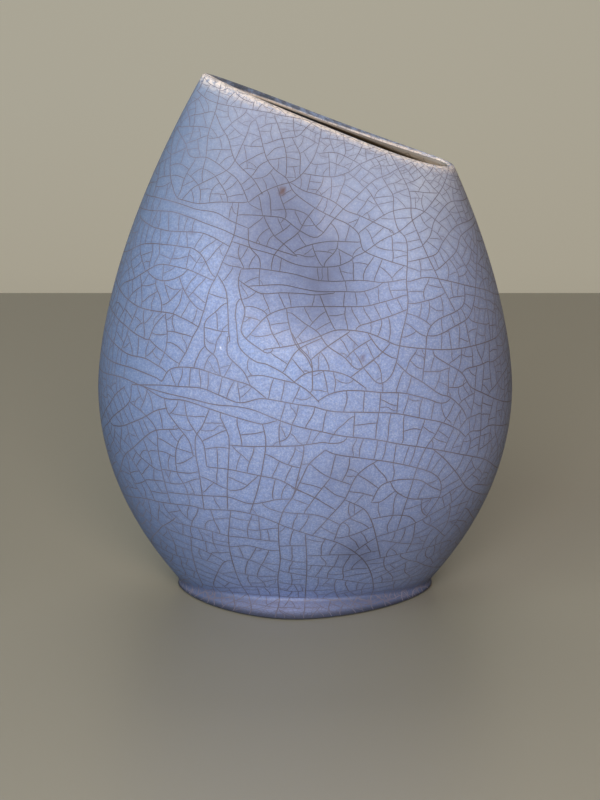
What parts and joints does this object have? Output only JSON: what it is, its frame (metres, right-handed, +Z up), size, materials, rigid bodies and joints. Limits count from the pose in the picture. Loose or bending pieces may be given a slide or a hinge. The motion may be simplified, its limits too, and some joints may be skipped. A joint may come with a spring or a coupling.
{
  "type": "ceramic vase",
  "caption": "Tall egg-shaped ceramic vase with a slanting pinched slit mouth, a small flared foot and a crackle glaze.",
  "frame": {"origin": "on the table plane, under the middle of the body", "axes": "+Z up, +X along the mouth from its high end to its low end, -Y towards the front"},
  "size_m": [0.161, 0.124, 0.2047],
  "materials": {
    "bare_clay": "unglazed fired stoneware, fine grain",
    "crackle_glaze": "satin blue glaze with fine brown-grey crackle",
    "lip_glaze": "thin satin glaze that breaks cream at its edges",
    "liner_glaze": "cream satin glaze"
  },
  "bodies": {
    "root": {"foot_ring": "bare_clay", "base_floor": "bare_clay", "body_wall": "bare_clay", "outer_glaze": "crackle_glaze", "lip_glaze": "lip_glaze", "liner_glaze": "liner_glaze"}
  },
  "joints": []
}
